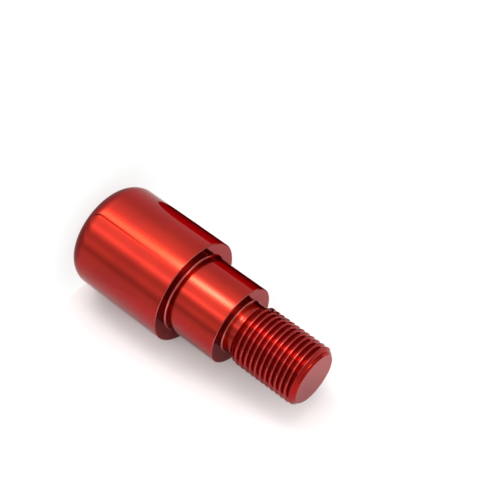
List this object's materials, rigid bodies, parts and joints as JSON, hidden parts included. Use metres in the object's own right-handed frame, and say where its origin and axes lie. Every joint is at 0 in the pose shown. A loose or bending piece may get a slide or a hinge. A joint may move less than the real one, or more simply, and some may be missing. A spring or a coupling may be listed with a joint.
{
  "type": "bar end weight",
  "caption": "Turned handlebar end weight: a round head with a rounded outer edge, a plain neck and a threaded stud with a relief groove.",
  "frame": {"origin": "centre of the head's flat outer face, on which the weight stands", "axes": "+Z along the turning axis, from the outer face to the tip of the stud; X and Y are across it"},
  "size_m": [0.028, 0.028, 0.0675],
  "materials": {
    "red_anodised": "polished, anodised red"
  },
  "bodies": {
    "root": {"bar_end_weight": "red_anodised"}
  },
  "joints": []
}
